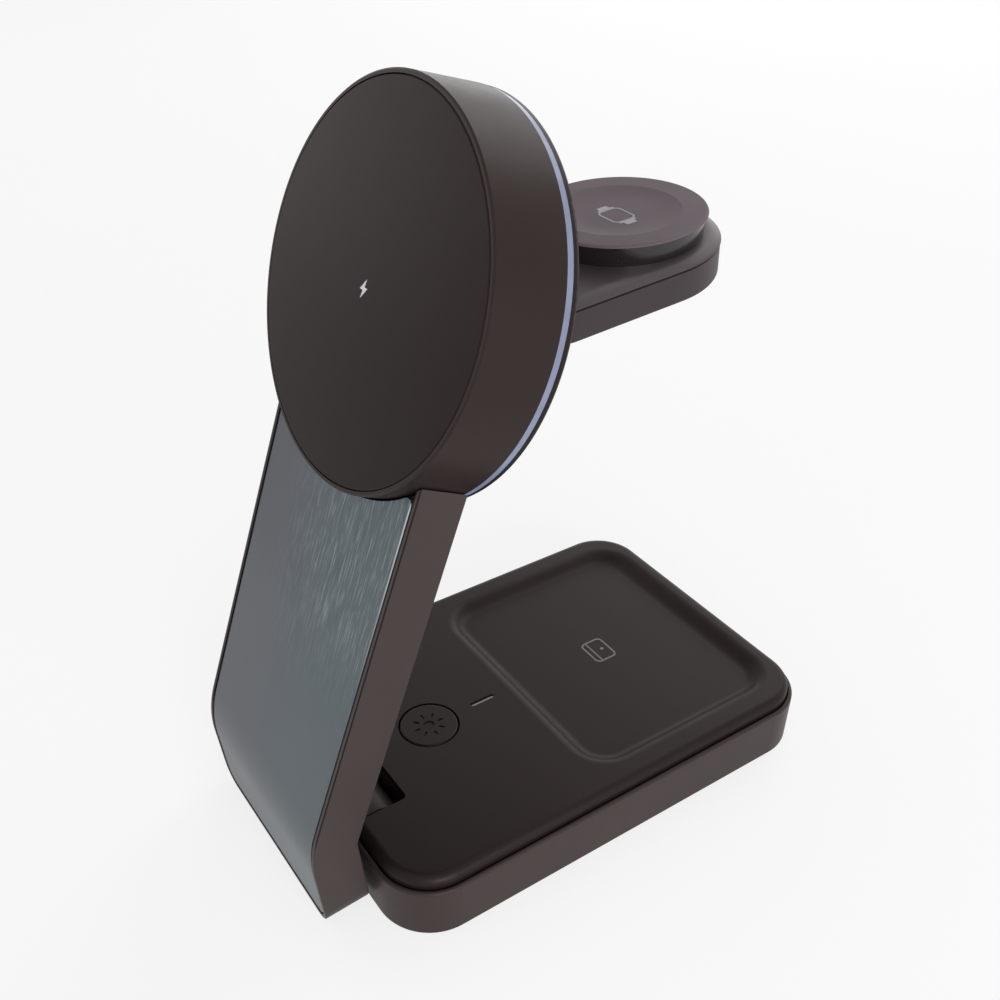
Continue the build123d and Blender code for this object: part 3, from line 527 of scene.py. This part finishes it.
def ink_mark(name, shapes, origin, axes, finish, body):
    """Printed mark: thin films in a plane's own right, up and outward axes."""
    points, faces, start = [], [], 0
    for local, polys in shapes:
        points.append(origin + local @ np.asarray(axes))
        faces += [tuple(p + start) for p in polys]
        start += len(local)
    piece(name, np.vstack(points), faces, finish, body)


# Printed marks on the head, the puck and the dish
bolt = filled([(0.35, 1.6), (-1.05, -0.25), (-0.15, -0.25), (-0.35, -1.6), (1.05, 0.3), (0.15, 0.3)])
ink_mark("bolt_mark", [bolt], head_centre, (ACROSS, ARM_UP, ARM_FRONT), ink_white, "arm")
strap_half = np.array([(2.62, -1.75), (3.3, -1.75), (3.45, -1.15), (4.45, -1.05)])
strap = np.vstack([strap_half, strap_half[::-1] * (1, -1)])
watch_shapes = [
    stroke(rounded(5.4, 4.5, 1.0), 0.32, True),
    filled(strap),
    filled(-strap),
]
watch_shift = ACROSS * 0.75 - WATCH_OUT * 0.95
ink_mark(
    "watch_mark",
    watch_shapes,
    puck_centre + WATCH_UP * PUCK_DISH + watch_shift,
    (ACROSS, WATCH_OUT, WATCH_UP),
    ink_pale,
    "watch_arm",
)
case_shapes = [
    stroke(rounded(6.9, 5.4, 1.1), 0.42, True),
    stroke([(-3.3, -1.35), (3.3, -1.35)], 0.36, False),
    filled(rounded(0.9, 0.9, 0.44, (0.0, 1.0))),
]
tray_low = np.array(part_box("base_tray")[0]) / MM
case_right, case_back = -0.6, 74.2
ink_mark(
    "earbud_mark",
    case_shapes,
    np.array([case_right, tray_low[1] + case_back, cover_top - DISH_DEPTH]),
    np.eye(3),
    ink_grey,
    "base",
)

# Floor, light and camera
half = 1.0
floor_mesh = bpy.data.meshes.new("floor")
floor_mesh.from_pydata(
    [(-half, -half, 0), (half, -half, 0), (half, half, 0), (-half, half, 0)], [], [(0, 1, 2, 3)]
)
floor = bpy.data.objects.new("floor", floor_mesh)
bpy.context.scene.collection.objects.link(floor)
paper = Finish("pale_floor", Roughness=0.9)
shade = paper.noise(paper.place, 6.0, 2.0)
paper.feed(Base_Color=paper.ramp(shade, (0.2, (0.95, 0.95, 0.945)), (0.8, (0.97, 0.97, 0.965))))
whitened = 0.76
white = paper.node("ShaderNodeEmission", {}, {"Color": (1.0, 1.0, 1.0, 1.0), "Strength": 1.0})
both = paper.node(
    "ShaderNodeMixShader",
    {},
    {0: paper.shown() * whitened, 1: Val(paper, paper.shader.outputs[0]), 2: white},
)
paper.tree.links.new(both.socket, paper.tree.nodes["Material Output"].inputs["Surface"])
floor_mesh.materials.append(paper.material)


def soft_lamp(name, place, target, power, wide, tall, colour=(1.0, 1.0, 1.0)):
    """Rectangular soft light at a place in metres, aimed at a target."""
    light = bpy.data.lights.new(name, "AREA")
    light.shape = "RECTANGLE"
    light.size, light.size_y = wide, tall
    light.energy = power
    light.color = colour
    made = bpy.data.objects.new(name, light)
    bpy.context.scene.collection.objects.link(made)
    away = np.array(place, float) - np.array(target, float)
    away /= np.linalg.norm(away)
    side = np.cross((0.0, 0.0, 1.0), away)
    side /= np.linalg.norm(side)
    turn = np.stack([side, np.cross(away, side), away], 1)
    made.matrix_world = Matrix.Translation(place) @ Matrix(turn.tolist()).to_4x4()


aim = (0.0, 0.0, 0.06)
soft_lamp("front_light", (-0.95, -0.4, 0.28), aim, power=0.7, wide=0.6, tall=0.4, colour=(1.0, 0.92, 0.93))
soft_lamp("right_light", (0.9, -0.15, 0.26), aim, power=6.0, wide=0.6, tall=0.4)
soft_lamp("top_light", (-0.25, 0.7, 0.8), aim, power=2.0, wide=0.6, tall=0.6)
soft_lamp("back_light", (-0.65, 0.75, 0.3), aim, power=1.2, wide=0.8, tall=0.3)
world = bpy.data.worlds.new("studio")
bpy.context.scene.world = world
world.use_nodes = True
sky = Graph(world.node_tree)
fill = 0.48
background = sky.tree.nodes["Background"]
background.inputs["Color"].default_value = (1.0, 1.0, 1.0, 1.0)
sky.tree.links.new((sky.shown() * (1.0 - fill) + fill).socket, background.inputs["Strength"])

camera_data = bpy.data.cameras.new("photo_camera")
camera_data.sensor_width = 36.0
camera_data.lens = 40.53
camera_data.shift_x = -0.0102
camera_data.shift_y = 0.0831
camera_data.clip_start = 0.01
camera = bpy.data.objects.new("photo_camera", camera_data)
bpy.context.scene.collection.objects.link(camera)
camera_eye = (0.151587, -0.110526, 0.187689)
camera_right = np.array([0.56519675, 0.82489612, 0.00995127])
camera_up = np.array([-0.50964421, 0.33965821, 0.79050305])
camera_look = np.array([-0.64870287, 0.45186136, -0.61237725])
turn = np.stack([camera_right, camera_up, -camera_look], 1)
camera.matrix_world = Matrix.Translation(camera_eye) @ Matrix(turn.tolist()).to_4x4()
bpy.context.scene.camera = camera
bpy.context.scene.view_settings.view_transform = "Standard"
